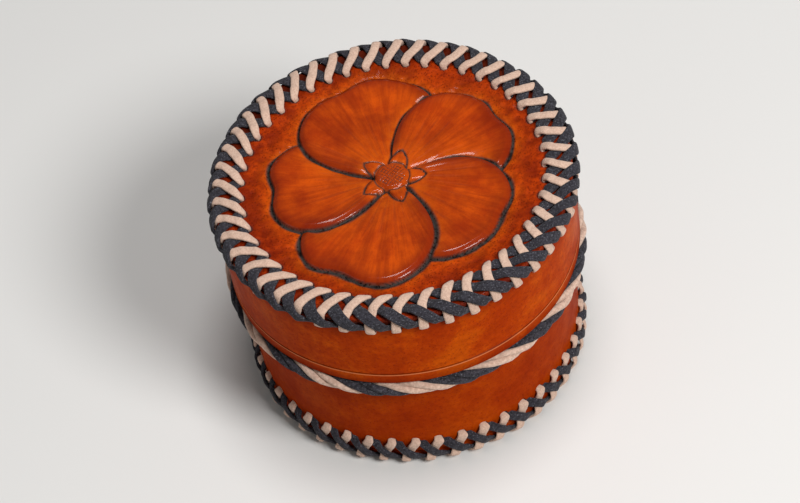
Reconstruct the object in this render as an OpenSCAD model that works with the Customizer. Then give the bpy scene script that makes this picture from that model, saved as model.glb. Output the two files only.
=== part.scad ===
// Round lidded box of tooling leather. Each panel is joined to its wall by two
// laces that share punched holes and weave over and under one another.
// Millimetres, Z up. The box stands on z = 0 and its front faces -Y.

/* [Leather] */
// Thickness of the tooling leather of the panels and walls
leather_t = 2.4; // [2:0.1:3]
// Thickness of the suede lining of the base and of the lid panel
lining_t = 0.8; // [0.5:0.1:1]
// Thickness of the skiver that lines the lid wall
skiver_t = 0.5; // [0.3:0.1:0.9]
// Bevel on the cut edges of the leather
edge_bevel = 0.5; // [0.2:0.1:0.7]

/* [Box] */
// Outer diameter of the base wall
base_d = 106; // [96:1:140]
// Height from the underside of the base panel to the top face of the lid
box_h = 75; // [66:1:110]
// Height of the lid from its lower edge to its top face
lid_h = 32; // [27:0.2:36]
// Gap between the base wall and the skiver that slides over it
slide_gap = 0.3; // [0.2:0.05:0.5]
// Free height between the lid lining and the rim of the base
rim_room = 6; // [5:0.5:10]
// Height of the creased line above the lower edge of the lid
crease_h = 4.8; // [2:0.2:8]
// Width of the creased line
crease_w = 0.7; // [0.4:0.1:1.2]
// Gap left in the skived joint at the back of each wall
seam_gap = 0.25; // [0.15:0.05:0.4]

/* [Lacing] */
// Width of the lace
lace_w = 2.7; // [2.2:0.1:2.8]
// Thickness of the lace
lace_t = 1.2; // [0.9:0.1:1.4]
// Gap between a lace and what it lies on
lace_gap = 0.1; // [0.05:0.05:0.15]
// Diameter of the punched lacing holes
hole_d = 3.1; // [2.9:0.1:3.3]
// Number of stitches round the lid
lid_stitches = 47; // [41:1:48]
// Number of stitches round the base
base_stitches = 45; // [39:1:46]
// Distance of the lid panel's holes from its edge
lid_inset = 8.3; // [8:0.1:10]
// Distance of the base panel's holes from its edge
base_inset = 7.6; // [7.4:0.1:9]
// Distance of the lid wall's holes below the top face
lid_drop = 4.8; // [4.6:0.1:7]
// Distance of the base wall's holes above the underside
base_drop = 8.2; // [6:0.1:9]
// How far the lid wall's holes wander from the panel's at one side and the other, in stitches
lid_drift = 0.5; // [0:0.05:0.5]
// Depth of the flat that the box stands on, worn into each lace
foot_flat = 0.13; // [0.1:0.01:0.2]

/* [Rim cord] */
// Thickness of each of the four strands
strand_d = 1.9; // [1.6:0.1:2.6]
// Turns of the twist once round the base
cord_twists = 12; // [10:1:14]
// Gap between neighbouring strands
strand_gap = 0.25; // [0.2:0.05:0.4]
// Gap between the cord and the wall behind it
cord_gap = 0.1; // [0.05:0.05:0.3]
// Gap between the cord and the lower edge of the lid that rests on it
seat_gap = 0.3; // [0.2:0.05:0.5]

/* [Tooled flower] */
// Number of petals
petals = 5; // [4:1:7]
// Reach of the petals from the middle of the lid
petal_r = 43; // [34:1:44]
// Width of one petal as an angle
petal_span = 120; // [110:1:130]
// Height of the middle of a petal above the panel
petal_rise = 0.7; // [0.5:0.1:1]
// Slope across a petal, which tucks one side under its neighbour
petal_tilt = 1; // [0.5:0.1:1.3]
// Depth of the background that is beaten down round the flower
ground_depth = 0.5; // [0.2:0.1:0.8]
// Width of the plain border between the background and the holes
border_w = 2.4; // [2:0.1:5]
// Radius of the button in the middle
button_r = 5.2; // [4:0.1:7]

/* [Hidden] */
$fn = 96;
eps = 0.02;
diag = sqrt(0.5);
base_r = base_d / 2;
stand_h = 2 * lace_t + 4 * lace_gap - foot_flat;
base_z = stand_h;
floor_z = base_z + leather_t + lining_t;
top_z = base_z + box_h;
ceiling_z = top_z - leather_t - lining_t;
rim_z = ceiling_z - rim_room;
lid_edge_z = top_z - lid_h;
skiver_r = base_r + slide_gap;
lid_in_r = skiver_r + skiver_t;
lid_r = lid_in_r + leather_t;
base_in_r = base_r - leather_t;
cavity_r = base_in_r - lining_t;
lid_hole_r = lid_r - lid_inset;
base_hole_r = base_r - base_inset;
lid_wall_t = leather_t + skiver_t;
base_wall_t = leather_t + lining_t;
face_t = leather_t + lining_t;
lid_turn = 0.3;
base_turn = 8.9;
wall_shift = 0.25;
drift_at = -10;
lid_wall_turn = lid_turn + wall_shift * 360 / lid_stitches;
base_wall_turn = -base_turn - wall_shift * 360 / base_stitches;
glue_gap = 0.05;

// Laces lie near the leather or far from it, over the other one, and are squeezed side by side in the holes
hole_r = hole_d / 2;
hole_room = 0.25;
squeeze_w = 0.75 * (hole_r - hole_room);
squeeze_t = 1.2 * (hole_r - hole_room);
beside = (squeeze_w + lace_gap) / 2;
near = lace_t / 2 + lace_gap;
far = 1.5 * lace_t + 2 * lace_gap;
bend_w = mix(squeeze_w, lace_w, 0.3);
rim_lift = 0.25;
corner_lift = 0.8;

// Shares of the way from a panel hole, over the edge, to the wall hole of the same cream stitch
edge_at = 2 / 3;
cream_rise_at = 0.2;
cream_fall_at = 0.44;
dark_under_at = 0.42;
dark_rise_at = 0.58;
dark_fall_at = 0.82;
// Cream stitches that a dark one passes, stitches round to where it turns the corner, and its turn at a hole
dark_passes = 3;
dark_corner = 1.4;
rim_turn = 0.03;

// Twist of the rim cord
twist_r = (strand_d + strand_gap) * diag;
cord_r = twist_r + strand_d / 2;
cord_ring_r = base_r + cord_gap + cord_r;
cord_z = lid_edge_z - seat_gap - cord_r;
strand_sides = 4;
cord_turn = 288;
strand_rings = ceil(5.8 * cord_twists);

// Tooled flower
ground_r = lid_hole_r - hole_r - border_w;
petal_steps = 12;

function unit(v) = v / norm(v);
function mix(a, b, t) = a + (b - a) * t;
function radial(a) = [cos(a), sin(a), 0];
function tangent(a) = [-sin(a), cos(a), 0];

// Angle moved round by holes that wander, nowhere further than the reach
function wandered(a, reach) = a + reach * cos(a - drift_at);

// One ring of a route: [stitches round, shift sideways, radius, height, normal out, normal up, width, thickness,
// share of the wandering]
function face_ring(at, u, lift, edge_r, ring_r) =
    [u, 0, mix(ring_r, edge_r, at / edge_at), lift, 0, 1, lace_w, lace_t, at];
function corner_ring(u, lift, edge_r) =
    [u, 0, edge_r + lift * diag, lift * diag, diag, diag, lace_w, lace_t, edge_at];
function wall_ring(at, u, lift, edge_r, drop) =
    [u, 0, edge_r + lift, -drop * (at - edge_at) / (1 - edge_at), 1, 0, lace_w, lace_t, at];
function face_hole_ring(u, shift, ring_r) =
    [u, shift, ring_r, -face_t / 2, -1, 0, squeeze_w, squeeze_t, 0];
function wall_hole_ring(u, shift, edge_r, drop, wall_t) =
    [u, shift, edge_r - wall_t - rim_lift, -drop, 0, -1, squeeze_w, squeeze_t, 1];
// Turns over the rim of a hole, about half way round the bend
function bend(lift) = diag * (hole_r + lift) / 2;
function face_bend(u, shift, lift, ring_r) =
    [u, shift, ring_r + hole_r - bend(lift), bend(lift) + rim_lift, -diag, diag, bend_w, lace_t, 0];
function wall_bend(u, shift, lift, edge_r, drop) =
    [u, shift, edge_r + bend(lift) + rim_lift, hole_r - drop - bend(lift), diag, -diag, bend_w, lace_t, 1];
function inner_bend(u, shift, lift, ring_r) =
    [u, shift, ring_r + hole_r - bend(lift), -face_t - bend(lift) - rim_lift, -diag, -diag, squeeze_w, squeeze_t, 0];

// The cream lace climbs over the dark one on the face and dives under it at the corner
function cream_stitch(edge_r, ring_r, drop, wall_t) =
    let (
        across = wall_shift - 1,
        over = far + 2 * lace_gap,
        under = near + 1.5 * lace_gap
    )
    [
        face_hole_ring(0, -beside, ring_r),
        face_bend(2 * rim_turn * across, -beside, far, ring_r),
        face_ring(cream_rise_at, cream_rise_at * across, over, edge_r, ring_r),
        face_ring(cream_fall_at, cream_fall_at * across, over, edge_r, ring_r),
        corner_ring(edge_at * across, under, edge_r),
        wall_bend((1 - rim_turn) * across, beside, near, edge_r, drop),
        wall_hole_ring(across, beside, edge_r, drop, wall_t),
        inner_bend(mix(-1, across, 2 * rim_turn), -beside, far, ring_r)
    ];

// The dark lace dives under the next cream one on the face, runs beside it, and climbs over the one after
function dark_stitch(edge_r, ring_r, drop, wall_t) =
    let (
        slant = wall_shift - 1,
        across = slant + dark_passes,
        before = dark_passes / 2,
        after = dark_passes - 0.5
    )
    [
        face_hole_ring(0, beside, ring_r),
        face_bend(rim_turn, beside, near, ring_r),
        face_ring(dark_under_at, before + dark_under_at * slant, near, edge_r, ring_r),
        face_ring(dark_rise_at, before + dark_rise_at * slant, far, edge_r, ring_r),
        corner_ring(dark_corner, far + corner_lift, edge_r),
        wall_ring(dark_fall_at, after + dark_fall_at * slant, far + rim_lift, edge_r, drop),
        wall_bend(across - rim_turn, -beside, near, edge_r, drop),
        wall_hole_ring(across, -beside, edge_r, drop, wall_t),
        inner_bend(1, beside, near, ring_r)
    ];

// A whole lace: the stitch repeated once round the edge and closed on itself.
// Heights above the limit are pressed flat.
module lace(cream, n, turn, edge_r, ring_r, drop, wall_t, drift, limit) {
    route = cream ? cream_stitch(edge_r, ring_r, drop, wall_t) : dark_stitch(edge_r, ring_r, drop, wall_t);
    per = len(route);
    count = n * per;
    pitch = 360 / n;
    step = cream ? -1 : 1;
    angles = [for (i = [0 : count - 1])
        let (r = route[i % per])
        wandered(turn + pitch * (step * floor(i / per) + r[0]), drift * pitch * r[8])];
    centres = [for (i = [0 : count - 1])
        let (r = route[i % per])
        r[2] * radial(angles[i]) + r[1] * tangent(angles[i]) + [0, 0, r[3]]];
    rings = [for (i = [0 : count - 1])
        let (
            r = route[i % per],
            along = unit(centres[(i + 1) % count] - centres[(i + count - 1) % count]),
            out = r[4] * radial(angles[i]) + [0, 0, r[5]],
            in_hole = r[6] == squeeze_w,
            wide = in_hole ? -tangent(angles[i]) : unit(cross(along, out)),
            up = in_hole ? out : unit(cross(wide, along)),
            a = up * r[7] / 2,
            b = wide * r[6] / 2
        )
        [centres[i] + a + b, centres[i] - a + b, centres[i] - a - b, centres[i] + a - b]];
    tube(rings, limit);
}

// Closed tube through rings of points, in triangles
module tube(rings, limit = 1000) {
    count = len(rings);
    sides = len(rings[0]);
    points = [for (ring = rings) for (p = ring) [p.x, p.y, min(p.z, limit)]];
    faces = [for (i = [0 : count - 1]) for (j = [0 : sides - 1])
        let (
            here = i * sides,
            next = ((i + 1) % count) * sides,
            k = (j + 1) % sides
        )
        each [[here + j, next + j, next + k], [here + j, next + k, here + k]]];
    polyhedron(points, faces);
}

// Both laces of one edge are written for a panel whose face is at height 0 and up
module lid_lace(cream) {
    translate([0, 0, top_z])
        lace(cream, lid_stitches, lid_turn, lid_r, lid_hole_r, lid_drop, lid_wall_t, lid_drift, 1000);
}

module base_lace(cream) {
    translate([0, 0, base_z]) rotate([180, 0, 0])
        lace(cream, base_stitches, base_turn, base_r, base_hole_r, base_drop, base_wall_t, 0, stand_h);
}

// One strand of the four that are twisted round one another and laid round the base
module strand(place) {
    centres = [for (i = [0 : strand_rings - 1])
        let (
            a = 360 * i / strand_rings,
            w = cord_turn + 90 * place - cord_twists * a
        )
        (cord_ring_r + twist_r * cos(w)) * radial(a) + [0, 0, cord_z + twist_r * sin(w)]];
    rings = [for (i = [0 : strand_rings - 1])
        let (
            a = 360 * i / strand_rings,
            along = unit(centres[(i + 1) % strand_rings] - centres[(i + strand_rings - 1) % strand_rings]),
            wide = unit(cross(along, radial(a))),
            up = cross(wide, along)
        )
        [for (j = [0 : strand_sides - 1])
            let (w = 360 * j / strand_sides)
            centres[i] + strand_d / 2 * (cos(w) * up + sin(w) * wide)]];
    tube(rings);
}

// Ring of leather with bevelled edges
module band(in_r, out_r, low, high, bevel) {
    rotate_extrude()
        polygon([[in_r, low + bevel], [in_r + bevel, low], [out_r - bevel, low], [out_r, low + bevel],
                 [out_r, high - bevel], [out_r - bevel, high], [in_r + bevel, high], [in_r, high - bevel]]);
}

// Round leather panel with bevelled edges
module panel(r, low, high, bevel) {
    rotate_extrude()
        polygon([[0, low], [r - bevel, low], [r, low + bevel], [r, high - bevel], [r - bevel, high], [0, high]]);
}

// Holes through a panel and its lining
module panel_holes(n, turn, ring_r, low, high) {
    for (i = [0 : n - 1])
        rotate([0, 0, turn + 360 * i / n]) translate([ring_r, 0, low - eps])
            cylinder(d = hole_d, h = high - low + 2 * eps);
}

// Holes through a wall and its lining
module wall_holes(n, turn, z, in_r, out_r, drift = 0) {
    for (i = [0 : n - 1])
        rotate([0, 0, wandered(turn + 360 * i / n, drift * 360 / n)]) translate([in_r - hole_d / 4, 0, z]) rotate([0, 90, 0])
            cylinder(d = hole_d, h = out_r - in_r + hole_d / 2);
}

// Slanted cut where the two ends of a wall meet at the back, between two holes
module seam(turn, n, r, low, high, drift = 0) {
    back = 90;
    a = turn + (floor((back - turn) * n / 360) + 0.5) * 360 / n;
    reach = 6 * leather_t;
    rotate([0, 0, wandered(a, drift * 360 / n)]) translate([r - leather_t / 2, 0, low - eps]) rotate([0, 0, 45])
        translate([-reach / 2, -seam_gap / 2, 0]) cube([reach, seam_gap, high - low + 2 * eps]);
}

// Rim of one petal, at a share from -1 to 1 of the way across it: broad, with a shallow notch and a light wave
function petal_rim(i, x) =
    petal_r * (0.96 + 0.04 * cos(200 * i)) * pow(1 - pow(abs(x), 2.5), 0.6)
        * (1 - 0.06 * exp(-pow((x - 0.14 * sin(130 * i + 40)) / 0.15, 2)))
        * (1 + 0.012 * cos((9 * x + 1.7 * i) * 180 / PI));
function petal_outline(i) =
    let (half = petal_span / 2 * (1 + 0.06 * cos(140 * i)))
    [for (k = [1 - petal_steps : petal_steps - 1])
        let (x = sin(90 * k / petal_steps))
        petal_rim(i, x) * [cos(x * half), sin(x * half)]];

// Petals, each tipped about its own length so that one side lies over the next,
// with pointed sepals and a button in the middle
module flower() {
    slab = petal_rise + ground_depth + 0.8;
    turn = 100;
    for (i = [0 : petals - 1])
        rotate([0, 0, turn + 360 * i / petals]) translate([0, 0, top_z + petal_rise])
            rotate([petal_tilt, 0, 0]) translate([0, 0, -slab])
                linear_extrude(slab) polygon(concat([[button_r / 2, 0]], petal_outline(i)));
    translate([0, 0, top_z]) {
        for (i = [0 : petals - 1])
            rotate([0, 0, turn + 360 * (i + 0.5) / petals]) translate([button_r, 0, 0])
                linear_extrude(1.6 * petal_rise) intersection() {
                    translate([0, 0.75 * button_r]) circle(1.25 * button_r);
                    translate([0, -0.75 * button_r]) circle(1.25 * button_r);
                }
        cylinder(r = button_r, h = 2 * petal_rise);
    }
}

module lid_panel() {
    color("saddlebrown") difference() {
        union() {
            difference() {
                panel(lid_r, top_z - leather_t, top_z, edge_bevel);
                translate([0, 0, top_z - ground_depth])
                    cylinder(r1 = ground_r - ground_depth, r2 = ground_r, h = ground_depth + eps);
            }
            flower();
        }
        panel_holes(lid_stitches, lid_turn, lid_hole_r, top_z - leather_t, top_z);
    }
}

module lid_panel_lining() {
    color("peru") difference() {
        translate([0, 0, ceiling_z]) cylinder(r = skiver_r - glue_gap, h = lining_t);
        panel_holes(lid_stitches, lid_turn, lid_hole_r, ceiling_z, top_z);
    }
}

module lid_wall() {
    color("saddlebrown") difference() {
        band(lid_in_r, lid_r, lid_edge_z, top_z - leather_t, edge_bevel);
        wall_holes(lid_stitches, lid_wall_turn, top_z - lid_drop, lid_in_r, lid_r, lid_drift);
        rotate_extrude() translate([lid_r, lid_edge_z + crease_h])
            polygon([[0.1, -crease_w / 2], [0.1, crease_w / 2], [-crease_w / 2, 0]]);
        seam(lid_wall_turn, lid_stitches, lid_r, lid_edge_z, top_z, lid_drift);
    }
}

module lid_wall_lining() {
    color("peru") difference() {
        band(skiver_r, lid_in_r - glue_gap, lid_edge_z, top_z - leather_t, 0);
        wall_holes(lid_stitches, lid_wall_turn, top_z - lid_drop, skiver_r, lid_in_r, lid_drift);
    }
}

module lid_lace_cream() {
    color("wheat") lid_lace(true);
}

module lid_lace_dark() {
    color("darkslategray") lid_lace(false);
}

module base_panel() {
    color("saddlebrown") difference() {
        panel(base_r, base_z, base_z + leather_t, edge_bevel);
        panel_holes(base_stitches, -base_turn, base_hole_r, base_z, floor_z);
    }
}

module base_floor_lining() {
    color("peru") difference() {
        translate([0, 0, base_z + leather_t]) cylinder(r = cavity_r - glue_gap, h = lining_t);
        panel_holes(base_stitches, -base_turn, base_hole_r, base_z, floor_z);
    }
}

module base_wall() {
    color("saddlebrown") difference() {
        band(base_in_r, base_r, base_z + leather_t, rim_z, edge_bevel);
        wall_holes(base_stitches, base_wall_turn, base_z + base_drop, base_in_r, base_r);
        seam(base_wall_turn, base_stitches, base_r, base_z, rim_z);
    }
}

module base_wall_lining() {
    color("peru") difference() {
        band(cavity_r, base_in_r - glue_gap, base_z + leather_t, rim_z, 0);
        wall_holes(base_stitches, base_wall_turn, base_z + base_drop, cavity_r, base_in_r);
    }
}

module base_lace_cream() {
    color("wheat") base_lace(true);
}

module base_lace_dark() {
    color("darkslategray") base_lace(false);
}

module rim_cord_cream_1() {
    color("wheat") strand(0);
}

module rim_cord_cream_2() {
    color("wheat") strand(1);
}

module rim_cord_dark_1() {
    color("darkslategray") strand(2);
}

module rim_cord_dark_2() {
    color("darkslategray") strand(3);
}

lid_panel();
lid_panel_lining();
lid_wall();
lid_wall_lining();
lid_lace_cream();
lid_lace_dark();
base_panel();
base_floor_lining();
base_wall();
base_wall_lining();
base_lace_cream();
base_lace_dark();
rim_cord_cream_1();
rim_cord_cream_2();
rim_cord_dark_1();
rim_cord_dark_2();
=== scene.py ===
# Round lidded box of dyed leather, with two-lace edges, a twisted cord round the base and a tooled
# flower on the lid.
import math

import bpy
import numpy as np
from mathutils import Matrix, Vector


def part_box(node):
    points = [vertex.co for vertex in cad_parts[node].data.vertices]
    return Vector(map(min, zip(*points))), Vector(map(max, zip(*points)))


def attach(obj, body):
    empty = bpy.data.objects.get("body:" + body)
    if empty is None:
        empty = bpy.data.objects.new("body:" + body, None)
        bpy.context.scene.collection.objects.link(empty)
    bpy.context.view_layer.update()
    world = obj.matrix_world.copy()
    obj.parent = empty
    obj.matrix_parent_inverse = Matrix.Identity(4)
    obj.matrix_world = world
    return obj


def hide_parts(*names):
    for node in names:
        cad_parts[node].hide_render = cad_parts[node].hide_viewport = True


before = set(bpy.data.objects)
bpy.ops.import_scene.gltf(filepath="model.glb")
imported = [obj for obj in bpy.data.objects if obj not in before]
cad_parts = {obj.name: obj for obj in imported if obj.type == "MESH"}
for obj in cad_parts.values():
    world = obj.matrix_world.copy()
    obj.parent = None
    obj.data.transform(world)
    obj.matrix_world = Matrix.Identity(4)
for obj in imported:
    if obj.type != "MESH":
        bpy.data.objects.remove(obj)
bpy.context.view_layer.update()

MM = 0.001
FULL_TURN = 2 * math.pi
DIAG = math.sqrt(0.5)


# Sizes, in millimetres and degrees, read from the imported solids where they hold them


def node_limits(node):
    low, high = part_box(node)
    return np.array(low) / MM, np.array(high) / MM


LEATHER = 2.4
LINING = 0.8
SKIVER = 0.5
LID_R = node_limits("lid_wall")[1][0]
BASE_R = node_limits("base_panel")[1][0]
TOP_Z = node_limits("lid_panel")[0][2] + LEATHER
BASE_Z = node_limits("base_panel")[0][2]
RIM_Z = node_limits("base_wall")[1][2]
LID_EDGE_Z = node_limits("lid_wall")[0][2]
CREASE_Z = LID_EDGE_Z + 4.8

HOLE_R = 1.55
LID_STITCHES = 47
BASE_STITCHES = 45
LID_HOLE_R = LID_R - 8.3
BASE_HOLE_R = BASE_R - 7.6
LID_DROP = 4.8
BASE_DROP = 8.2
LID_TURN = 0.3
BASE_TURN = 8.9


# Meshes


def make_piece(name, points, faces, material, smooth=True):
    """A mesh object from points in millimetres."""
    mesh = bpy.data.meshes.new(name)
    mesh.from_pydata((np.asarray(points, float) * MM).tolist(), [], [list(f) for f in faces])
    mesh.polygons.foreach_set("use_smooth", [smooth] * len(mesh.polygons))
    mesh.materials.append(material)
    mesh.update()
    piece = bpy.data.objects.new(name, mesh)
    bpy.context.scene.collection.objects.link(piece)
    return piece


def band(inner, outer, columns):
    """Faces between two rings of as many points, from the number of each ring's first point."""
    ahead = [(j + 1) % columns for j in range(columns)]
    return [(inner + j, outer + j, outer + k, inner + k) for j, k in enumerate(ahead)]


def store(piece, name, values):
    """Keeps one value for each point of a piece, for its material or its Geometry Nodes."""
    layer = piece.data.attributes.new(name, "FLOAT", "POINT")
    layer.data.foreach_set("value", np.asarray(values, np.float32))


def dress(node, material):
    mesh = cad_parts[node].data
    mesh.materials.clear()
    mesh.materials.append(material)


def stand_for(piece, body, slot, *nodes):
    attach(piece, body)
    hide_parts(*nodes)


# Curves and noise over arrays of points

NOISE_CELLS = 256


def smooth_step(x, low, high):
    t = np.clip((x - low) / (high - low), 0, 1)
    return t * t * (3 - 2 * t)


def bell(x, width):
    return np.exp(-((x / width) ** 2))


def wrap(angle, period=FULL_TURN):
    """The same angle, within half a period of zero."""
    return (angle + period / 2) % period - period / 2


def soft_noise(x, y, size, seed):
    """Smooth noise from -1 to 1 over the plane, with features of that size."""
    cells = np.random.default_rng(seed).uniform(-1, 1, (NOISE_CELLS, NOISE_CELLS))
    u, v = x / size + NOISE_CELLS / 2, y / size + NOISE_CELLS / 2
    i, j = np.floor(u).astype(int), np.floor(v).astype(int)
    s, t = smooth_step(u - i, 0, 1), smooth_step(v - j, 0, 1)
    i, j, k, m = (n % NOISE_CELLS for n in (i, j, i + 1, j + 1))
    low = cells[i, j] * (1 - s) + cells[k, j] * s
    high = cells[i, m] * (1 - s) + cells[k, m] * s
    return low * (1 - t) + high * t


# Nodes

# Sockets of the Mix node when it mixes colours
MIX_SHARE, MIX_FIRST, MIX_SECOND, MIX_RESULT = 0, 6, 7, 2


def feed(tree, socket, value):
    """Links another node's output to a socket, or sets a plain value on it."""
    if isinstance(value, bpy.types.NodeSocket):
        tree.links.new(value, socket)
    else:
        socket.default_value = value


def add_node(tree, kind, inputs=None, **settings):
    node = tree.nodes.new(kind)
    for name, value in settings.items():
        setattr(node, name, value)
    for name, value in (inputs or {}).items():
        feed(tree, node.inputs[name], value)
    return node


def result(tree, kind, inputs=None, **settings):
    """The first output of a new node."""
    return add_node(tree, kind, inputs, **settings).outputs[0]


def math_node(tree, operation, *values):
    return result(tree, "ShaderNodeMath", dict(enumerate(values)), operation=operation)


def plus(tree, a, b):
    return math_node(tree, "ADD", a, b)


def minus(tree, a, b):
    return math_node(tree, "SUBTRACT", a, b)


def times(tree, a, b):
    return math_node(tree, "MULTIPLY", a, b)


def map_range(tree, value, low, high, to_low=0.0, to_high=1.0):
    """A smooth step between two limits, from one value to another."""
    limits = {"From Min": low, "From Max": high, "To Min": to_low, "To Max": to_high}
    return result(
        tree, "ShaderNodeMapRange", {"Value": value, **limits}, interpolation_type="SMOOTHSTEP"
    )


def mix_colour(tree, share, first, second):
    node = add_node(tree, "ShaderNodeMix", {MIX_SHARE: share}, data_type="RGBA")
    for socket, colour in ((MIX_FIRST, first), (MIX_SECOND, second)):
        feed(tree, node.inputs[socket], (*colour, 1.0) if isinstance(colour, tuple) else colour)
    return node.outputs[MIX_RESULT]


def vector_of(tree, x=0.0, y=0.0, z=0.0):
    return result(tree, "ShaderNodeCombineXYZ", {"X": x, "Y": y, "Z": z})


def parts_of(tree, vector):
    return add_node(tree, "ShaderNodeSeparateXYZ", {"Vector": vector}).outputs


def noise_texture(tree, point, scale, detail, roughness):
    look = {"Scale": scale, "Detail": detail, "Roughness": roughness}
    return result(tree, "ShaderNodeTexNoise", {"Vector": point, **look})


def attribute(tree, name):
    return add_node(tree, "ShaderNodeAttribute", attribute_name=name).outputs["Fac"]


def object_point(tree):
    return tree.nodes.new("ShaderNodeTexCoord").outputs["Object"]


# Effects that several materials share, as shader groups

# Detail and roughness of their noise, and the values of it that a mask spreads from 0 to 1
CREASE_NOISE = (4.0, 0.6)
CLOUD_NOISE = (5.0, 0.62)
STREAK_NOISE = (3.0, 0.5)
FIBRE_NOISE = (3.0, 0.7)
PATCH_NOISE = (2.0, 0.5)
NOISE_SPAN = (0.3, 0.7)
PORE_SPAN = (0.05, 0.35)
PORE_DEPTH = 0.5
STREAK_STRETCH = (0.45, 0.45, 1.0)
SPECK_SPAN = (0.55, 0.72)


def new_group(name, sizes, masks):
    """An empty shader group that takes sizes in millimetres and puts out masks and heights."""
    tree = bpy.data.node_groups.new(name, "ShaderNodeTree")
    for label, value in sizes.items():
        socket = tree.interface.new_socket(label, in_out="INPUT", socket_type="NodeSocketFloat")
        socket.default_value = value
    for label in masks:
        tree.interface.new_socket(label, in_out="OUTPUT", socket_type="NodeSocketFloat")
    given, out = tree.nodes.new("NodeGroupInput"), tree.nodes.new("NodeGroupOutput")
    return tree, given.outputs, out.inputs


def place_group(tree, group, **sizes):
    node = add_node(tree, "ShaderNodeGroup", node_tree=group)
    for label, value in sizes.items():
        node.inputs[label.replace("_", " ")].default_value = value
    return node.outputs


def scale_for(tree, size):
    """Scale at which a texture's features have a size in millimetres."""
    return math_node(tree, "DIVIDE", 1 / MM, size)


def leather_grain_group():
    """Pores and fine creases of dyed leather: a height and a mask of the pores."""
    tree, given, out = new_group(
        "leather grain", {"Pore Size": 0.7, "Crease Size": 3.0}, ("Height", "Pores")
    )
    point = object_point(tree)
    pores = result(
        tree, "ShaderNodeTexVoronoi",
        {"Vector": point, "Scale": scale_for(tree, given["Pore Size"]), "Randomness": 1.0},
        feature="SMOOTH_F1",
    )
    creases = noise_texture(tree, point, scale_for(tree, given["Crease Size"]), *CREASE_NOISE)
    dots = map_range(tree, pores, *PORE_SPAN)
    feed(tree, out["Height"], plus(tree, times(tree, dots, PORE_DEPTH), creases))
    feed(tree, out["Pores"], minus(tree, 1.0, dots))
    return tree


def dye_group():
    """Cloudy dye: broad clouds and the streaks of the cloth that rubbed it in."""
    tree, given, out = new_group(
        "hand dye", {"Cloud Size": 22.0, "Streak Size": 2.5}, ("Clouds", "Streaks")
    )
    point = object_point(tree)
    clouds = noise_texture(tree, point, scale_for(tree, given["Cloud Size"]), *CLOUD_NOISE)
    stretched = result(tree, "ShaderNodeMapping", {"Vector": point, "Scale": STREAK_STRETCH})
    streak_scale = scale_for(tree, given["Streak Size"])
    streaks = noise_texture(tree, stretched, streak_scale, *STREAK_NOISE)
    feed(tree, out["Clouds"], map_range(tree, clouds, *NOISE_SPAN))
    feed(tree, out["Streaks"], map_range(tree, streaks, *NOISE_SPAN))
    return tree


def nap_group():
    """Nap of suede: short fibres as a height, patches, and specks where the nap is brushed up."""
    tree, given, out = new_group(
        "suede nap", {"Fibre Size": 0.35, "Patch Size": 2.2}, ("Height", "Patches", "Specks")
    )
    point = object_point(tree)
    fibres = noise_texture(tree, point, scale_for(tree, given["Fibre Size"]), *FIBRE_NOISE)
    patches = noise_texture(tree, point, scale_for(tree, given["Patch Size"]), *PATCH_NOISE)
    feed(tree, out["Height"], fibres)
    feed(tree, out["Patches"], map_range(tree, patches, *NOISE_SPAN))
    feed(tree, out["Specks"], map_range(tree, fibres, *SPECK_SPAN))
    return tree


leather_grain = leather_grain_group()
hand_dye = dye_group()
suede_nap = nap_group()


# Materials

ORANGE = (0.6, 0.075, 0.0015)
TAWNY = (0.5, 0.046, 0.0012)
RUST = (0.4, 0.036, 0.001)
OXBLOOD = (0.16, 0.009, 0.0006)
AMBER = (0.64, 0.11, 0.002)
# Dark burnish of cut edges, also darkening in the crease and painted shade under the lid's lacing
BURNISH_AND_SHADE = (0.045, 0.007, 0.002)
# Painted highlight for the lip below the lid's crease
CREASE_LIP_HIGHLIGHT = (0.72, 0.26, 0.1)
ANTIQUE = (0.008, 0.006, 0.006)
ANTIQUE_DUST = (0.07, 0.06, 0.055)
CREAM = (0.65, 0.45, 0.345)
CREAM_SHADE = (0.53, 0.35, 0.265)
CREAM_LIGHT = (0.74, 0.56, 0.44)
# Lighter copy of the lace cream for the cord: painted light against its shade below the lid
CREAM_LIT_FOR_CORD = (0.72, 0.51, 0.4)
CHARCOAL = (0.04, 0.038, 0.048)
CHARCOAL_SHADE = (0.018, 0.016, 0.019)
CHARCOAL_LIGHT = (0.2, 0.2, 0.225)
# Lighter copy of the lace charcoal for the cord: painted light against its shade below the lid
CHARCOAL_LIT_FOR_CORD = (0.053, 0.05, 0.062)
TAN_SUEDE = (0.34, 0.17, 0.075)
TAN_SUEDE_SHADE = (0.22, 0.1, 0.04)
TAN_SUEDE_LIGHT = (0.44, 0.25, 0.12)

# Shares of deep dye in a wall's streaks, fine mottle and pores, and in bands along its edges
STREAK_DYE = 0.2
MOTTLE_DYE = 0.3
PORE_DYE = 0.5
LOW_BAND, LOW_BAND_DYE = 4.5, 0.6
HIGH_BAND, HIGH_BAND_DYE = 9.0, 0.65
RUBBED_CLOUDS = (0.5, 1.0)
# Burnish of its cut edges, darkening in the crease, and a painted highlight on the lip below the
# crease: each falls from its share to none between two distances in millimetres
CUT_EDGE, CUT_EDGE_BURNISH = (0.2, 0.7), 0.85
GROOVE, GROOVE_DARK = (0.2, 0.45), 0.5
LIP, LIP_HIGHLIGHT, LIP_BELOW = (0.1, 0.35), 0.6, 0.6
WALL_ROUGHNESS = (0.42, 0.3)

# Masks of the tooled panel, kept with its points
MASKS = ("petal", "cut", "halo", "spread", "reach", "rim", "dent")
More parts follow.
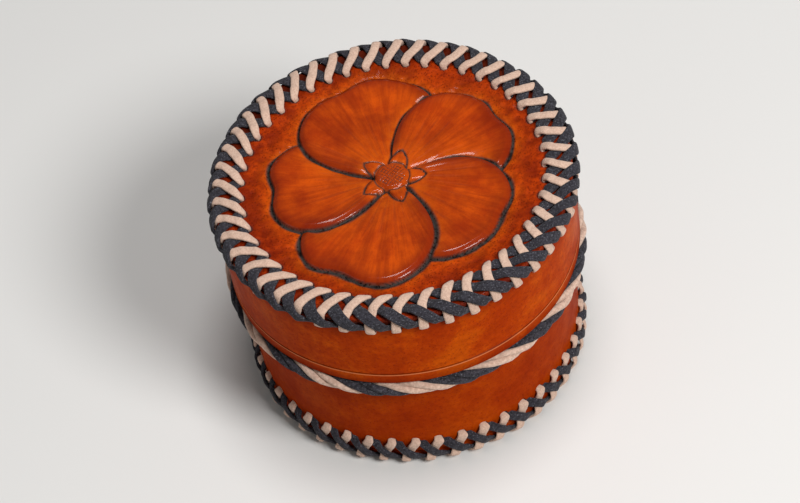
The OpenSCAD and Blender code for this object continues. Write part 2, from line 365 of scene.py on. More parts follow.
# Limits of a mask on it and the share of deep dye it gives; the lace rows give painted shade
DEEP_CLOUDS, PETAL_CLOUD_DYE, GROUND_CLOUD_DYE = (0.2, 1.0), 0.4, 0.3
BRUSH, BRUSH_DYE = (0.35, 0.65), 0.42
DENT, DENT_DYE = (0.02, 0.22), 0.75
WRINKLE, WRINKLE_DYE = (0.82, 1.08), 0.6
EDGE_REACH, EDGE_CLOUDS, EDGE_DYE = (0.84, 1.02), (0.2, 0.8), (0.75, 0.15)
LACE_REACH, LACE_SHADE_SHARE = (1.1, 1.2), 0.95
HOLE_REACH, LACE_DEEP_SHADE = (1.13, 1.22), 0.7
RIM_DYE = 0.7
# Painted shade under the lacing, deeper towards the back, between two depths in millimetres
BACK, BACK_SHADE = (0.0, 35.0), (0.3, 1.0)
# Share of amber beside the cuts, from clear dye to cloudy, and of dust in them
GLOW = (0.35, 0.95)
DUST, DUST_SHARE = (0.8, 1.05), 0.5
# Brush strokes across and along a petal, sizes of the clouds, middle of the grain's height
BRUSH_ACROSS, BRUSH_ALONG, BRUSH_NOISE = 16.0, 2.2, (5.0, 0.65)
PANEL_CLOUDS = (9.0, 3.2, 15.0)
GRAIN_LEVEL = 0.8
CUT_ROUGHNESS = 0.1
# Values on its ground and on its petals
PANEL_PORES = (0.25, 0.15)
PANEL_ROUGHNESS = (0.55, 0.26)
PANEL_COAT = (0.06, 0.42)
PANEL_RELIEF = (1.0, 0.13)

SPECK_SHARE = 0.8


def new_material(name, **constants):
    material = bpy.data.materials.new(name)
    material.use_nodes = True
    shader = material.node_tree.nodes["Principled BSDF"]
    for socket, value in constants.items():
        shader.inputs[socket.replace("_", " ")].default_value = value
    return material, material.node_tree, shader.inputs


def add_bump(tree, shader, height, strength, distance):
    inputs = {"Strength": strength, "Distance": distance * MM, "Height": height}
    feed(tree, shader["Normal"], result(tree, "ShaderNodeBump", inputs))


def deepen(tree, colour, share):
    """Oxblood over a colour by a share: deeper dye, and painted shade under the lid's lacing."""
    return mix_colour(tree, share, colour, OXBLOOD)


def wall_leather(name, low, high, depth, rubbed, crease=None):
    """Dyed leather of a wall whose cut edges and crease are at these heights, darkened all over by
    one share, with another of amber where the dye is rubbed thin and a painted highlight below the
    crease."""
    material, tree, shader = new_material(
        name, Coat_Weight=0.02, Coat_Roughness=0.25, Specular_IOR_Level=0.005
    )
    grain = place_group(tree, leather_grain, Pore_Size=0.9, Crease_Size=2.4)
    dye = place_group(tree, hand_dye, Cloud_Size=18.0, Streak_Size=2.0)
    mottle = place_group(tree, hand_dye, Cloud_Size=1.6)
    height = math_node(tree, "DIVIDE", parts_of(tree, object_point(tree))["Z"], MM)
    from_low, from_high = minus(tree, height, low), minus(tree, high, height)

    colour = mix_colour(tree, dye["Clouds"], RUST, ORANGE)
    thin = map_range(tree, dye["Clouds"], *RUBBED_CLOUDS, 0.0, rubbed)
    colour = mix_colour(tree, thin, colour, AMBER)
    colour = deepen(tree, colour, depth)
    colour = deepen(tree, colour, times(tree, dye["Streaks"], STREAK_DYE))
    colour = deepen(tree, colour, times(tree, mottle["Clouds"], MOTTLE_DYE))
    colour = deepen(tree, colour, times(tree, grain["Pores"], PORE_DYE))
    low_band = map_range(tree, from_low, 0.0, LOW_BAND, LOW_BAND_DYE, 0.0)
    high_band = map_range(tree, from_high, 0.0, HIGH_BAND, HIGH_BAND_DYE, 0.0)
    colour = deepen(tree, colour, math_node(tree, "MAXIMUM", low_band, high_band))
    from_edge = math_node(tree, "MINIMUM", from_low, from_high)
    dark_band = map_range(tree, from_edge, *CUT_EDGE, CUT_EDGE_BURNISH, 0.0)
    colour = mix_colour(tree, dark_band, colour, BURNISH_AND_SHADE)
    if crease is not None:
        # Painted highlight on the lip below the crease, then darkening in the crease
        above = minus(tree, height, crease)
        from_lip = math_node(tree, "ABSOLUTE", plus(tree, above, LIP_BELOW))
        highlight = map_range(tree, from_lip, *LIP, LIP_HIGHLIGHT, 0.0)
        colour = mix_colour(tree, highlight, colour, CREASE_LIP_HIGHLIGHT)
        from_groove = math_node(tree, "ABSOLUTE", above)
        dark_band = map_range(tree, from_groove, *GROOVE, GROOVE_DARK, 0.0)
        colour = mix_colour(tree, dark_band, colour, BURNISH_AND_SHADE)
    feed(tree, shader["Base Color"], colour)
    roughness = map_range(tree, dye["Clouds"], 0.0, 1.0, *WALL_ROUGHNESS)
    feed(tree, shader["Roughness"], roughness)
    add_bump(tree, shader, grain["Height"], strength=0.5, distance=0.1)
    return material


def tooled_leather():
    """The carved panel: glossy petals, a matted ground, amber by the cuts and black in them."""
    material, tree, shader = new_material(
        "tooled leather", Coat_Roughness=0.12, Specular_IOR_Level=0.05
    )
    grain = place_group(tree, leather_grain, Pore_Size=0.75, Crease_Size=1.8)
    dye, mottle, shade = (
        place_group(tree, hand_dye, Cloud_Size=size)["Clouds"] for size in PANEL_CLOUDS
    )
    petal, cut, halo, spread, reach, rim, dent = (attribute(tree, name) for name in MASKS)

    def by_petal(values):
        return map_range(tree, petal, 0.0, 1.0, *values)

    along = vector_of(tree, times(tree, spread, BRUSH_ACROSS), times(tree, reach, BRUSH_ALONG))
    brush = noise_texture(tree, along, 1.0, *BRUSH_NOISE)
    body = mix_colour(tree, dye, RUST, ORANGE)
    body = deepen(tree, body, map_range(tree, shade, *DEEP_CLOUDS, 0.0, PETAL_CLOUD_DYE))
    body = deepen(tree, body, map_range(tree, brush, *BRUSH, BRUSH_DYE, 0.0))

    ground = mix_colour(tree, mottle, RUST, TAWNY)
    ground = deepen(tree, ground, map_range(tree, shade, *DEEP_CLOUDS, 0.0, GROUND_CLOUD_DYE))
    ground = deepen(tree, ground, map_range(tree, dent, *DENT, 0.0, DENT_DYE))
    ground = deepen(tree, ground, map_range(tree, grain["Height"], *WRINKLE, WRINKLE_DYE, 0.0))
    near_edge = times(
        tree, map_range(tree, dye, *EDGE_CLOUDS, *EDGE_DYE), map_range(tree, reach, *EDGE_REACH)
    )
    # Painted shade on the leather under and between the laces, deeper towards the back
    depth = math_node(tree, "DIVIDE", parts_of(tree, object_point(tree))["Y"], MM)
    shaded = map_range(tree, depth, *BACK, *BACK_SHADE)
    shade_under_lace = times(tree, map_range(tree, reach, *LACE_REACH, 0.0, LACE_SHADE_SHARE), shaded)
    ground = deepen(tree, ground, math_node(tree, "MAXIMUM", near_edge, shade_under_lace))
    deeper_shade_under_lace = times(tree, map_range(tree, reach, *HOLE_REACH, 0.0, LACE_DEEP_SHADE), shaded)
    ground = mix_colour(tree, deeper_shade_under_lace, ground, BURNISH_AND_SHADE)

    colour = mix_colour(tree, petal, ground, body)
    glow = times(tree, halo, map_range(tree, mottle, 0.0, 1.0, *GLOW))
    colour = mix_colour(tree, glow, colour, AMBER)
    colour = deepen(tree, colour, times(tree, grain["Pores"], by_petal(PANEL_PORES)))
    colour = deepen(tree, colour, times(tree, rim, RIM_DYE))
    dust = map_range(tree, grain["Height"], *DUST, 0.0, DUST_SHARE)
    colour = mix_colour(tree, cut, colour, mix_colour(tree, dust, ANTIQUE, ANTIQUE_DUST))
    feed(tree, shader["Base Color"], colour)
    roughness = plus(tree, by_petal(PANEL_ROUGHNESS), times(tree, cut, CUT_ROUGHNESS))
    feed(tree, shader["Roughness"], roughness)
    coat = times(tree, minus(tree, 1.0, cut), by_petal(PANEL_COAT))
    feed(tree, shader["Coat Weight"], coat)
    relief = times(tree, minus(tree, grain["Height"], GRAIN_LEVEL), by_petal(PANEL_RELIEF))
    add_bump(tree, shader, relief, strength=1.0, distance=0.28)
    return material


def suede(name, face, shade, light, fibre, patch, bump, sheen):
    material, tree, shader = new_material(
        name, Roughness=0.92, Specular_IOR_Level=0.12, Sheen_Weight=sheen, Sheen_Roughness=0.5
    )
    nap = place_group(tree, suede_nap, Fibre_Size=fibre, Patch_Size=patch)
    colour = mix_colour(tree, nap["Patches"], shade, face)
    colour = mix_colour(tree, times(tree, nap["Specks"], SPECK_SHARE), colour, light)
    feed(tree, shader["Base Color"], colour)
    add_bump(tree, shader, nap["Height"], strength=0.6, distance=bump)
    return material


lid_wall_leather = wall_leather(
    "dyed leather of the lid wall", LID_EDGE_Z, TOP_Z - LEATHER, depth=0.08, rubbed=0.6,
    crease=CREASE_Z,
)
base_wall_leather = wall_leather("dyed leather of the base", BASE_Z, RIM_Z, depth=0.36, rubbed=0.2)
panel_leather = tooled_leather()
cream_suede = suede(
    "cream suede lace", CREAM, CREAM_SHADE, CREAM_LIGHT,
    fibre=0.45, patch=0.6, bump=0.3, sheen=0.2,
)
charcoal_suede = suede(
    "charcoal suede lace", CHARCOAL, CHARCOAL_SHADE, CHARCOAL_LIGHT,
    fibre=0.5, patch=0.6, bump=0.3, sheen=0.06,
)
cream_cord = suede(
    "cream suede strand", CREAM_LIT_FOR_CORD, CREAM_SHADE, CREAM_LIGHT,
    fibre=0.55, patch=1.0, bump=0.6, sheen=0.2,
)
charcoal_cord = suede(
    "charcoal suede strand", CHARCOAL_LIT_FOR_CORD, CHARCOAL_SHADE, CHARCOAL_LIGHT,
    fibre=0.55, patch=1.0, bump=0.6, sheen=0.06,
)
lining_suede = suede(
    "tan suede lining", TAN_SUEDE, TAN_SUEDE_SHADE, TAN_SUEDE_LIGHT,
    fibre=0.5, patch=6.0, bump=0.12, sheen=0.2,
)


# Edge lacing: one stitch is modelled, and Geometry Nodes repeat it round the edge

LACE_T = 1.2
LACE_SIDES = 14
LACE_SQUARE = 0.72
RINGS_PER_SPAN = 4
# Where both laces share a hole, each is squeezed to this width and thickness and moved aside
SQUEEZE_W = 1.15
SQUEEZE_T = 1.5
BESIDE = 0.6
# Heights of a lace over the leather: on it, over the other lace, and between the two
NEAR = LACE_T / 2 + 0.05
FAR = NEAR + LACE_T
MIDWAY = NEAR + 0.7 * LACE_T
# Lean of a cream stitch, and way of a dark one past it and in all, in stitches
SLANT = -0.75
DARK_PASS = 2.75
DARK_STEP = 3
EDGE_ROUND = 1.3
FACE_T = LEATHER + LINING
INSIDE_WALL = 0.25
INSIDE_FACE = 1.4
MOUTH_W = 0.85
# Shares of the way over the edge: rings of each lace, and the dive round the crossing
FACE_RINGS = 9
CREAM_FACE = (0.13, 0.9)
DARK_FACE = (0.13, 0.84)
DIVE = (-0.2, -0.07, 0.13, 0.25)
CROSSING_STEPS = 201
# How the laces run over an edge, first where their crossings show on the wall and then where they
# hide: the share of its lean that a cream stitch has at even steps of its way, the widths of the
# cream and the dark lace, and how far the dark one bows aside, in stitches
LID_RUN = (
    {"lean": (0, 0.51, 0.8, 0.95, 1, 1), "widths": (2.85, 3.4), "bow": 0.25},
    {"lean": (0, 0.4, 0.68, 0.87, 0.97, 1), "widths": (2.95, 3.9), "bow": -0.45},
)
BASE_RUN = (
    {"lean": (0, 0, 0.1, 0.62, 0.8, 1), "widths": (3.35, 3.0), "bow": -0.08},
    {"lean": (0, 0.05, 0.2, 0.45, 0.72, 1), "widths": (2.9, 2.9), "bow": 0.05},
)


def lace_rings(cream, run, edge_r, ring_r, drop, wall_t):
    """Rings of one stitch: stitches round, shift, radius, height, normal out, normal up, width,
    thickness and share of the way. The panel's face is at height 0. A share of 0 is the panel's
    hole, and 1 the wall's."""
    flat = edge_r - EDGE_ROUND - ring_r
    arc = EDGE_ROUND * math.pi / 2
    side = drop - EDGE_ROUND
    whole = flat + arc + side
    raised = flat + (EDGE_ROUND + FAR) * math.pi / 2
    width = run["widths"][0 if cream else 1]

    def lean(share):
        return SLANT * np.interp(share, np.linspace(0, 1, len(run["lean"])), run["lean"])

    def dark_way(share):
        marks = (0, flat, flat + arc, whole)
        even = np.interp(share * whole, marks, (0, flat, raised, raised + side))
        even = even / (raised + side)
        return (DARK_PASS + SLANT) * even + run["bow"] * np.sin(math.pi * even**2)

    sideways = lean if cream else dark_way
    shares = np.linspace(0, 1, CROSSING_STEPS)
    crossing = np.interp(2, dark_way(shares) - lean(shares), shares)
    lift_at = (0, *(crossing + step for step in DIVE))
    lifts = (FAR, FAR, NEAR, NEAR, MIDWAY) if cream else (NEAR, NEAR, FAR, FAR, NEAR)

    def over_edge(share):
        way = share * whole
        bend = min(max((way - flat) / EDGE_ROUND, 0), math.pi / 2)
        out, up = math.sin(bend), math.cos(bend)
        far = EDGE_ROUND + np.interp(share, lift_at, lifts)
        radius = ring_r + min(way, flat) + far * out
        height = far * up - EDGE_ROUND - max(way - flat - arc, 0)
        return (sideways(share), 0, radius, height, out, up, width, LACE_T, share)

    def face_mouth(out, height):
        return (0, 0, ring_r + out, height, -DIAG, DIAG, MOUTH_W * width, LACE_T, 0)

    def wall_mouth(shift, out, height):
        return (sideways(1), shift, edge_r + out, height - drop, DIAG, -DIAG, width, LACE_T, 1)

    def in_face(shift, out, height, across):
        return (0, shift, ring_r + out, height, -1, 0, across, SQUEEZE_T, 0)

    def in_wall(shift, out, height, across, onward=0):
        at = sideways(1) + onward
        return (at, shift, edge_r + out, height - drop, 0, -1, across, SQUEEZE_T, 1)

    # Shift, way out, height and width of the rings in and by the two holes
    behind = -wall_t - INSIDE_WALL
    if cream:
        start = [
            in_face(-BESIDE, 0, -FACE_T, SQUEEZE_W),
            in_face(-0.2, -0.35, -0.5, 2.0),
            face_mouth(-0.1, 0.8),
        ]
        end = [
            wall_mouth(0, 0.9, 0.05),
            in_wall(0.2, -0.4, -0.5, 2.3),
            in_wall(BESIDE, behind, 0, SQUEEZE_W),
        ]
    else:
        start = [
            in_face(BESIDE, 0, -FACE_T, SQUEEZE_W),
            in_face(0.3, 0.7, -0.5, 2.4),
            face_mouth(0.85, 0.25),
        ]
        end = [
            wall_mouth(0.2, 0.1, 0.9),
            in_wall(0.5, -0.6, 0.5, 2.0),
            in_wall(-BESIDE, behind, 0, SQUEEZE_W, DARK_STEP - DARK_PASS),
        ]
    over = [over_edge(s) for s in np.linspace(*(CREAM_FACE if cream else DARK_FACE), FACE_RINGS)]
    turn = -1 if cream else 1
    low = -FACE_T - INSIDE_FACE
    back = (turn, turn * BESIDE, ring_r, low, -DIAG, -DIAG, SQUEEZE_W, SQUEEZE_T, 0)
    return [*start, *over, *end, back]


def lace_frames(rings, stitches, turn, step):
    """Centre, half width and half thickness vectors and share of the way at each ring of three
    neighbouring stitches, and the number of rings in one."""
    per = len(rings)
    pitch = FULL_TURN / stitches
    spots = np.arange(-per, 2 * per + 1)
    row = np.array(rings)[spots % per]
    angle = math.radians(turn) + pitch * (step * (spots // per) + row[:, 0])
    radial = np.stack([np.cos(angle), np.sin(angle), 0 * angle], 1)
    tangent = np.stack([-np.sin(angle), np.cos(angle), 0 * angle], 1)
    rise = np.array([0, 0, 1.0])
    centre = row[:, 2:3] * radial + row[:, 1:2] * tangent + row[:, 3:4] * rise
    along = np.gradient(centre, axis=0)
    along /= np.linalg.norm(along, axis=1, keepdims=True)
    out = row[:, 4:5] * radial + row[:, 5:6] * rise
    in_hole = (row[:, 7] == SQUEEZE_T)[:, None]
    wide = np.cross(along, out)
    wide /= np.linalg.norm(wide, axis=1, keepdims=True)
    wide = np.where(in_hole, -tangent, wide)
    up = np.where(in_hole, out, np.cross(wide, along))
    return centre, wide * row[:, 6:7] / 2, up * row[:, 7:8] / 2, row[:, 8:9], per


def through(values, first, last, share):
    """Smooth curve through the values (Catmull-Rom), from one index to another."""
    t = share[:, None]
    spans = []
    for i in range(first, last):
        a, b, c, d = values[i - 1 : i + 3]
        square, cube = 2 * a - 5 * b + 4 * c - d, 3 * b - a - 3 * c + d
        spans.append(0.5 * (2 * b + (c - a) * t + square * t**2 + cube * t**3))
    return np.concatenate(spans + [values[last][None]])


def stitch_points(cream, run, stitches, turn, edge_r, ring_r, drop, wall_t):
    """Points of the rings of one stitch, and the share of the way of each ring."""
    rings = lace_rings(cream, run, edge_r, ring_r, drop, wall_t)
    *frames, per = lace_frames(rings, stitches, turn, -1 if cream else 1)
    steps = np.arange(RINGS_PER_SPAN) / RINGS_PER_SPAN
    centre, wide, thick, share = (through(v, per, 2 * per, steps)[:, None] for v in frames)
    s = FULL_TURN * (np.arange(LACE_SIDES) + 0.5) / LACE_SIDES
    across, above = (
        (np.sign(side) * np.abs(side) ** LACE_SQUARE)[None, :, None]
        for side in (np.cos(s), np.sin(s))
    )
    return centre + across * wide + above * thick, np.clip(share[:, 0, 0], 0, 1)


def stitch_mesh(name, cream, runs, place, edge, material):
    """A stitch as it runs where the crossings hide, with the change that brings it to where they
    show as attributes."""
    (shown, share), (hidden, _) = (stitch_points(cream, run, *edge) for run in runs)
    faces = []
    for i in range(len(hidden) - 1):
        faces += band(i * LACE_SIDES, (i + 1) * LACE_SIDES, LACE_SIDES)
    shown, hidden = (place(points.reshape(-1, 3)) for points in (shown, hidden))
    stitch = make_piece(name, hidden, faces, material)
    angle = [np.arctan2(points[:, 1], points[:, 0]) for points in (shown, hidden)]
    radius = [np.hypot(points[:, 0], points[:, 1]) for points in (shown, hidden)]
    store(stitch, "share", np.repeat(share, LACE_SIDES))
    store(stitch, "turn", wrap(angle[0] - angle[1]))
    store(stitch, "out", (radius[0] - radius[1]) * MM)
    store(stitch, "rise", (shown[:, 2] - hidden[:, 2]) * MM)
    return stitch


def new_shape_tree(name, numbers, counts):
    """A Geometry Nodes tree with a geometry input, named numbers and counts, the inputs of
    wavy_finish and a geometry output."""
    tree = bpy.data.node_groups.new(name, "GeometryNodeTree")
    kinds = {"Geometry": "NodeSocketGeometry"}
    kinds.update((label, "NodeSocketFloat") for label in numbers)
    kinds.update((label, "NodeSocketInt") for label in counts)
    kinds.update((label, "NodeSocketFloat") for label in ("Wave Length", "Wave Depth", "Seed"))
    kinds["Material"] = "NodeSocketMaterial"
    for label, kind in kinds.items():
        tree.interface.new_socket(label, in_out="INPUT", socket_type=kind)
    tree.interface.new_socket("Geometry", in_out="OUTPUT", socket_type="NodeSocketGeometry")
    given, out = tree.nodes.new("NodeGroupInput"), tree.nodes.new("NodeGroupOutput")
    return tree, given.outputs, out.inputs


def wavy_finish(tree, geometry, given):
    """Small hand-made unevenness, smooth shading and the material."""
    place = result(tree, "GeometryNodeInputPosition")
    scale = math_node(tree, "DIVIDE", 1.0, given["Wave Length"])
    noise = add_node(
        tree, "ShaderNodeTexNoise",
        {"Vector": place, "Scale": scale, "W": given["Seed"], "Detail": 1.0},
        noise_dimensions="4D",
    ).outputs["Color"]
    centred = result(
        tree, "ShaderNodeVectorMath", {0: noise, 1: (0.5, 0.5, 0.5)}, operation="SUBTRACT"
    )
    offset = result(
        tree, "ShaderNodeVectorMath", {0: centred, "Scale": given["Wave Depth"]}, operation="SCALE"
    )
    moved = result(tree, "GeometryNodeSetPosition", {"Geometry": geometry, "Offset": offset})
    smooth = result(tree, "GeometryNodeSetShadeSmooth", {"Geometry": moved})
    dressed = {"Geometry": smooth, "Material": given["Material"]}
    return result(tree, "GeometryNodeSetMaterial", dressed)


# Cosines of the angle from the middle of a stretch between which the laces' run changes
FRONT_SPAN = (0.4, 0.88)
SIDE_SPAN = (0.3, 0.95)
JOIN = 0.02 * MM


def lace_tree():
    """Repeats a stitch round the axis, joins the copies end to end and changes their run."""
    tree, given, out = new_shape_tree(
        "lacing round an edge",
        ("Drift", "Drift At", "Front At", "Side At", "Side Share"),
        ("Stitches",),
    )
    spots = result(tree, "GeometryNodePoints", {"Count": given["Stitches"]})
    pitch = math_node(tree, "DIVIDE", FULL_TURN, given["Stitches"])
    index = result(tree, "GeometryNodeInputIndex")
    copies = result(
        tree, "GeometryNodeInstanceOnPoints",
        {
            "Points": spots, "Instance": given["Geometry"],
            "Rotation": vector_of(tree, z=times(tree, index, pitch)),
        },
    )
    joined = result(tree, "GeometryNodeRealizeInstances", {"Geometry": copies})
    merged = result(tree, "GeometryNodeMergeByDistance", {"Geometry": joined, "Distance": JOIN})

    share, turn, out_by, rise = (
        result(tree, "GeometryNodeInputNamedAttribute", {"Name": name}, data_type="FLOAT")
        for name in ("share", "turn", "out", "rise")
    )
    parts = parts_of(tree, result(tree, "GeometryNodeInputPosition"))
    angle = math_node(tree, "ARCTAN2", parts["Y"], parts["X"])
    squares = (times(tree, parts[axis], parts[axis]) for axis in ("X", "Y"))
    radius = math_node(tree, "SQRT", plus(tree, *squares))

    def facing(middle):
        return math_node(tree, "COSINE", minus(tree, angle, given[middle]))

    swing = times(tree, facing("Drift At"), times(tree, pitch, given["Drift"]))
    front = map_range(tree, facing("Front At"), *FRONT_SPAN)
    side = map_range(tree, math_node(tree, "ABSOLUTE", facing("Side At")), *SIDE_SPAN)
    front = math_node(tree, "MAXIMUM", front, times(tree, side, given["Side Share"]))
    angle = plus(tree, angle, times(tree, swing, share))
    angle = plus(tree, angle, times(tree, front, turn))
    radius = plus(tree, radius, times(tree, front, out_by))
    place = vector_of(
        tree,
        times(tree, radius, math_node(tree, "COSINE", angle)),
        times(tree, radius, math_node(tree, "SINE", angle)),
        plus(tree, parts["Z"], times(tree, front, rise)),
    )
    moved = result(tree, "GeometryNodeSetPosition", {"Geometry": merged, "Position": place})
    feed(tree, out[0], wavy_finish(tree, moved, given))
    return tree


def strand_tree():
    """One strand of a twisted cord laid in a ring round the axis."""
    tree, given, out = new_shape_tree(
        "strand of a twisted cord",
        ("Ring Radius", "Height", "Twist Radius", "Phase", "Strand Width", "Strand Thickness"),
        ("Twists", "Steps", "Sides"),
    )
    circle = "GeometryNodeCurvePrimitiveCircle"
    ring = result(tree, circle, {"Resolution": given["Steps"]}, mode="RADIUS")
    factor = add_node(tree, "GeometryNodeSplineParameter").outputs["Factor"]
    angle = times(tree, factor, FULL_TURN)
    twist = minus(tree, given["Phase"], times(tree, angle, given["Twists"]))
    cos_a, sin_a, cos_t, sin_t = (
        math_node(tree, wave, of) for of in (angle, twist) for wave in ("COSINE", "SINE")
    )
    radius = plus(tree, given["Ring Radius"], times(tree, given["Twist Radius"], cos_t))
    height = plus(tree, given["Height"], times(tree, given["Twist Radius"], sin_t))
    place = vector_of(tree, times(tree, radius, cos_a), times(tree, radius, sin_a), height)
    outward = vector_of(tree, times(tree, cos_t, cos_a), times(tree, cos_t, sin_a), sin_t)
    laid = result(tree, "GeometryNodeSetPosition", {"Geometry": ring, "Position": place})
    turned = result(
        tree, "GeometryNodeSetCurveNormal", {"Curve": laid, "Normal": outward}, mode="FREE"
    )
    section = result(tree, circle, {"Resolution": given["Sides"], "Radius": 0.5}, mode="RADIUS")
    size = vector_of(tree, given["Strand Thickness"], given["Strand Width"], 1.0)
    oval = result(tree, "GeometryNodeTransform", {"Geometry": section, "Scale": size})
    tube = result(tree, "GeometryNodeCurveToMesh", {"Curve": turned, "Profile Curve": oval})
    single = result(tree, "GeometryNodeRealizeInstances", {"Geometry": tube})
    feed(tree, out[0], wavy_finish(tree, single, given))
    return tree


def grow(piece, tree, **values):
    """Runs a Geometry Nodes tree on a piece and keeps the result as its plain mesh."""
    items = tree.interface.items_tree
    identifiers = {item.name: item.identifier for item in items if item.in_out == "INPUT"}
    modifier = piece.modifiers.new("grow", "NODES")
    modifier.node_group = tree
    for label, value in values.items():
        modifier[identifiers[label.replace("_", " ")]] = value
    depsgraph = bpy.context.evaluated_depsgraph_get()
    mesh = bpy.data.meshes.new_from_object(piece.evaluated_get(depsgraph))
    piece.modifiers.clear()
    piece.data = mesh


# Drift of the lid's wall ends in stitches, and the angles round the axis, in degrees, at which they
# drift most and the laces' crossings show
LID_DRIFT = 0.5
DRIFT_AT = -10.0
LID_FRONT_AT = -67.0
BASE_FRONT_AT = -40.0
SIDE_AT = 170.0
LID_SIDE_SHARE = 0.5
LACE_WAVE = {"Wave_Length": 9 * MM, "Wave_Depth": 1.2 * MM, "Seed": 4.0}

lacing = lace_tree()


def lid_place(points):
    return points + (0, 0, TOP_Z)


def base_place(points):
    return points * (1, -1, -1) + (0, 0, BASE_Z)


def lace_edge(name, cream, lid):
    """One lace round the edge of the lid or of the base, which stands on its laces."""
    material = cream_suede if cream else charcoal_suede
    if lid:
        edge = (LID_STITCHES, LID_TURN, LID_R, LID_HOLE_R, LID_DROP, LEATHER + SKIVER)
        lace = stitch_mesh(name, cream, LID_RUN, lid_place, edge, material)
    else:
        edge = (BASE_STITCHES, BASE_TURN, BASE_R, BASE_HOLE_R, BASE_DROP, LEATHER + LINING)
        lace = stitch_mesh(name, cream, BASE_RUN, base_place, edge, material)
    grow(
        lace, lacing, Stitches=edge[0], Material=material, **LACE_WAVE,
        Drift=LID_DRIFT if lid else 0.0, Drift_At=math.radians(DRIFT_AT),
        Front_At=math.radians(LID_FRONT_AT if lid else BASE_FRONT_AT),
        Side_At=math.radians(SIDE_AT), Side_Share=LID_SIDE_SHARE if lid else 0.0,
    )
    if not lid:
        for vertex in lace.data.vertices:
            vertex.co.z = max(vertex.co.z, 0.0)
    return lace


for colour, is_cream in (("cream", True), ("dark", False)):
    for body in ("lid", "base"):
        lace = lace_edge(f"{body}_edge_lace_{colour}", is_cream, body == "lid")
        stand_for(lace, body, f"lace_{colour}", f"{body}_lace_{colour}")


# Twisted cord round the base

STRANDS = ("rim_cord_cream_1", "rim_cord_cream_2", "rim_cord_dark_1", "rim_cord_dark_2")
STRAND_W = 2.25
STRAND_T = 2.15
STRAND_STEPS = 520
STRAND_SIDES = 14
TWIST_R = STRAND_T * DIAG
CORD_TWISTS = 12
CORD_TURN = 288
CORD_R = TWIST_R + 0.95
# Gaps that the solids leave between the cord and the wall, and between the cord and the lid
WALL_GAP = 0.1
LID_GAP = 0.3
CORD_RING_R = BASE_R + WALL_GAP + CORD_R
CORD_Z = LID_EDGE_Z - LID_GAP - CORD_R
CORD_WAVE = {"Wave_Length": 6 * MM, "Wave_Depth": 1.1 * MM, "Seed": 9.0}

twisting = strand_tree()
for number, node in enumerate(STRANDS):
    cream = "cream" in node
    material = cream_cord if cream else charcoal_cord
    strand = make_piece(node.replace("rim_cord", "cord_strand"), [(0, 0, 0)], [], material)
    grow(
        strand, twisting, Material=material, **CORD_WAVE,
        Ring_Radius=CORD_RING_R * MM, Height=CORD_Z * MM,
        Twist_Radius=TWIST_R * MM, Twists=CORD_TWISTS,
        Phase=math.radians(CORD_TURN + 360 // len(STRANDS) * number),
        Strand_Width=STRAND_W * MM, Strand_Thickness=STRAND_T * MM,
        Steps=STRAND_STEPS, Sides=STRAND_SIDES,
    )
    stand_for(strand, "base", "lace_cream" if cream else "lace_dark", node)


# Tooled lid panel

PETALS = 5
PETAL_TURN = 100
PETAL_R = 43.0
PETAL_HALF = np.radians([60 * (1 + 0.06 * math.cos(math.radians(140 * i))) for i in range(PETALS)])
PETAL_REACH = [PETAL_R * (0.96 + 0.04 * math.cos(math.radians(200 * i))) for i in range(PETALS)]
PETAL_NOTCH = [0.14 * math.sin(math.radians(130 * i + 40)) for i in range(PETALS)]
OUTLINE_STEPS = 97
# Rim of a petal: its notch and its waves, as shares of the petal's reach and way across
NOTCH, NOTCH_W = 0.06, 0.15
WAVE, WAVES, WAVE_SHIFT = 0.012, 9, 1.7
# Face of a petal: its lift, its tilt, the roll of its rim, the cup at its root, its swell, and
# its fall into the cut
PETAL_LIFT = 0.3
PETAL_TILT = 0.55
ROLL, ROLL_W = 0.75, 4
CUP, CUP_R = 0.5, 14
SWELL, SWELL_SIZE, SWELL_SEED = 0.2, 11, 5
FALL, FALL_SPAN = 1.05, (-0.2, 2.2)
# Count and phase of its folds, and the distances out and inside the rim over which they rise
FOLDS = ((7, 0.3), (11, 1.9), (17, 4.0), (29, 2.2))
FOLD, FOLD_OUT, FOLD_IN = 0.06, (8, 18), (2, 12)
# The same for its veins, which end unevenly
VEINS, VEIN, VEIN_INK, VEIN_OUT, VEIN_IN = 38, 0.06, 0.1, (8, 11), (0.6, 2)
VEIN_END, VEIN_END_CHANGE, VEIN_FADE = 19, 7, 6
# Cut round a petal: depths and widths, the width of the black line with its changes round the
# panel and from place to place, and the width of the amber beside it
CUT_DEEP, CUT_DEEP_W = 0.85, 0.8
CUT_WIDE, CUT_WIDE_W = 0.25, 2.4
LINE_W, LINE_W_ROUND, LINE_W_CHANGE = 1.05, 0.35, 0.5
HALO_W = 2.2
ROOT_HALO, ROOT_HALO_R = 0.95, 13
RIM_W, RIM_OUT = 3.6, (9, 14)
# Small raised forms: the width of their rim, and the cut, line and amber round them
FORM_RIM_W = 0.9
FORM_CUT, FORM_CUT_W = 0.55, 0.7
FORM_LINE_W = 0.75
FORM_HALO, FORM_HALO_ROUND, FORM_HALO_W = 0.25, 0.95, 1.8
SEPAL_TOP, SEPAL_RISE, SEPAL_RIM = 0.85, 0.1, 0.45
BUTTON_R = 5.2
BUTTON_TOP, BUTTON_DOME, BUTTON_RIM, BUTTON_DYE = 0.9, 0.45, 0.5, 0.3
HATCH, HATCH_SPAN, HATCH_IN, HATCH_DEPTH, HATCH_INK = 2.1, (0.93, 1.0), (0.6, 1.4), 0.16, 0.7
# Ground: how far it is sunk, and the depth, size and seed of the dents of its matting
GROUND_DEPTH = 0.5
GROUND_R = LID_HOLE_R - HOLE_R - 2.4
MATTING = ((0.17, 2.1, 7), (0.06, 1.0, 8), (0.14, 4.5, 9))
MATTING_END = 1.5
BEVEL = 0.5
